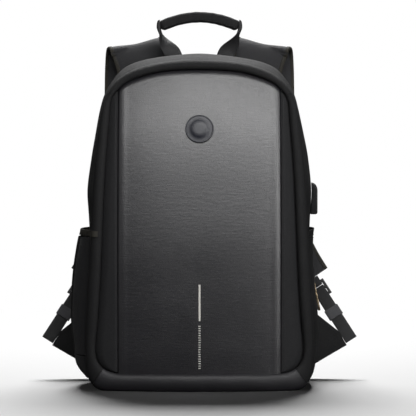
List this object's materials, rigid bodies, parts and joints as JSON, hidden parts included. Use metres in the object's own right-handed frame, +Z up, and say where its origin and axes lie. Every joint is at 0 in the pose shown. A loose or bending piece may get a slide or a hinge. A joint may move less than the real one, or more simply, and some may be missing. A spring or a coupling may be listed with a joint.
{
  "type": "anti-theft laptop backpack",
  "caption": "Upright laptop backpack with a padded front shell, hidden rear zips, side pockets, a charging port, a grab handle and padded shoulder straps.",
  "frame": {"origin": "on the floor, under the middle of the bag's flat base", "axes": "+Z up along the bag's height, -Y out of the bag's front panel, +X to the side with the charging port"},
  "size_m": [0.445, 0.1979, 0.516],
  "materials": {
    "leatherette": "fine-grained coated cloth with a soft satin shine",
    "woven_cloth": "matte twill-woven polyester",
    "body_cloth": "matte plain-woven polyester",
    "mesh": "matte knitted spacer mesh",
    "webbing": "ribbed woven webbing",
    "binding": "flat woven edge binding",
    "zip_coil": "moulded coil on woven tape",
    "lock_plastic": "fine-grained moulded acetal",
    "port_rubber": "smooth moulded rubber with a soft shine",
    "badge_rubber": "moulded rubber",
    "reflective_tape": "pale glass-bead reflective tape",
    "pull_metal": "pale gold plated zinc, satin"
  },
  "bodies": {
    "bag": {"front_panel": "leatherette", "badge": "badge_rubber", "reflective_line": "reflective_tape", "top_roll": "body_cloth", "bottom_roll": "leatherette", "base": "leatherette", "gusset": "body_cloth", "main_zip": "zip_coil", "middle_gusset": "body_cloth", "laptop_zip": "zip_coil", "rear_gusset": "body_cloth", "back_panel": "mesh", "bottle_pocket_trim": "binding", "bottle_pocket_front": "body_cloth", "bottle_pocket_mesh": "mesh", "bottle_pocket_corner": "body_cloth", "side_pocket": "body_cloth", "charging_port": "port_rubber", "handle_strap": "webbing", "handle_grip": "body_cloth", "side_strip_left": "woven_cloth", "side_strip_right": "woven_cloth", "side_roll_left": "body_cloth", "side_roll_right": "body_cloth", "shoulder_strap_left": "woven_cloth", "shoulder_strap_right": "woven_cloth", "strap_lock_left": "lock_plastic", "strap_lock_right": "lock_plastic", "lock_loop_left": "webbing", "lock_loop_right": "webbing", "strap_webbing_left": "webbing", "strap_webbing_right": "webbing", "webbing_keeper_left": "binding", "webbing_keeper_right": "binding", "strap_wing_left": "body_cloth", "strap_wing_right": "body_cloth", "main_slider": "pull_metal", "laptop_slider": "pull_metal"},
    "main_pull": {"main_pull": "pull_metal"},
    "laptop_pull": {"laptop_pull": "pull_metal"}
  },
  "joints": [
    {"name": "main_pull_swing", "type": "hinge", "parent": "bag", "child": "main_pull", "pos_m": [0.15676, 0.03858, 0.14958], "axis": [0.1187, -0.9929, 0], "range_deg": [0, 150]},
    {"name": "laptop_pull_swing", "type": "hinge", "parent": "bag", "child": "laptop_pull", "pos_m": [0.15422, 0.05519, 0.14882], "axis": [0.1858, -0.9826, 0], "range_deg": [0, 150]}
  ]
}
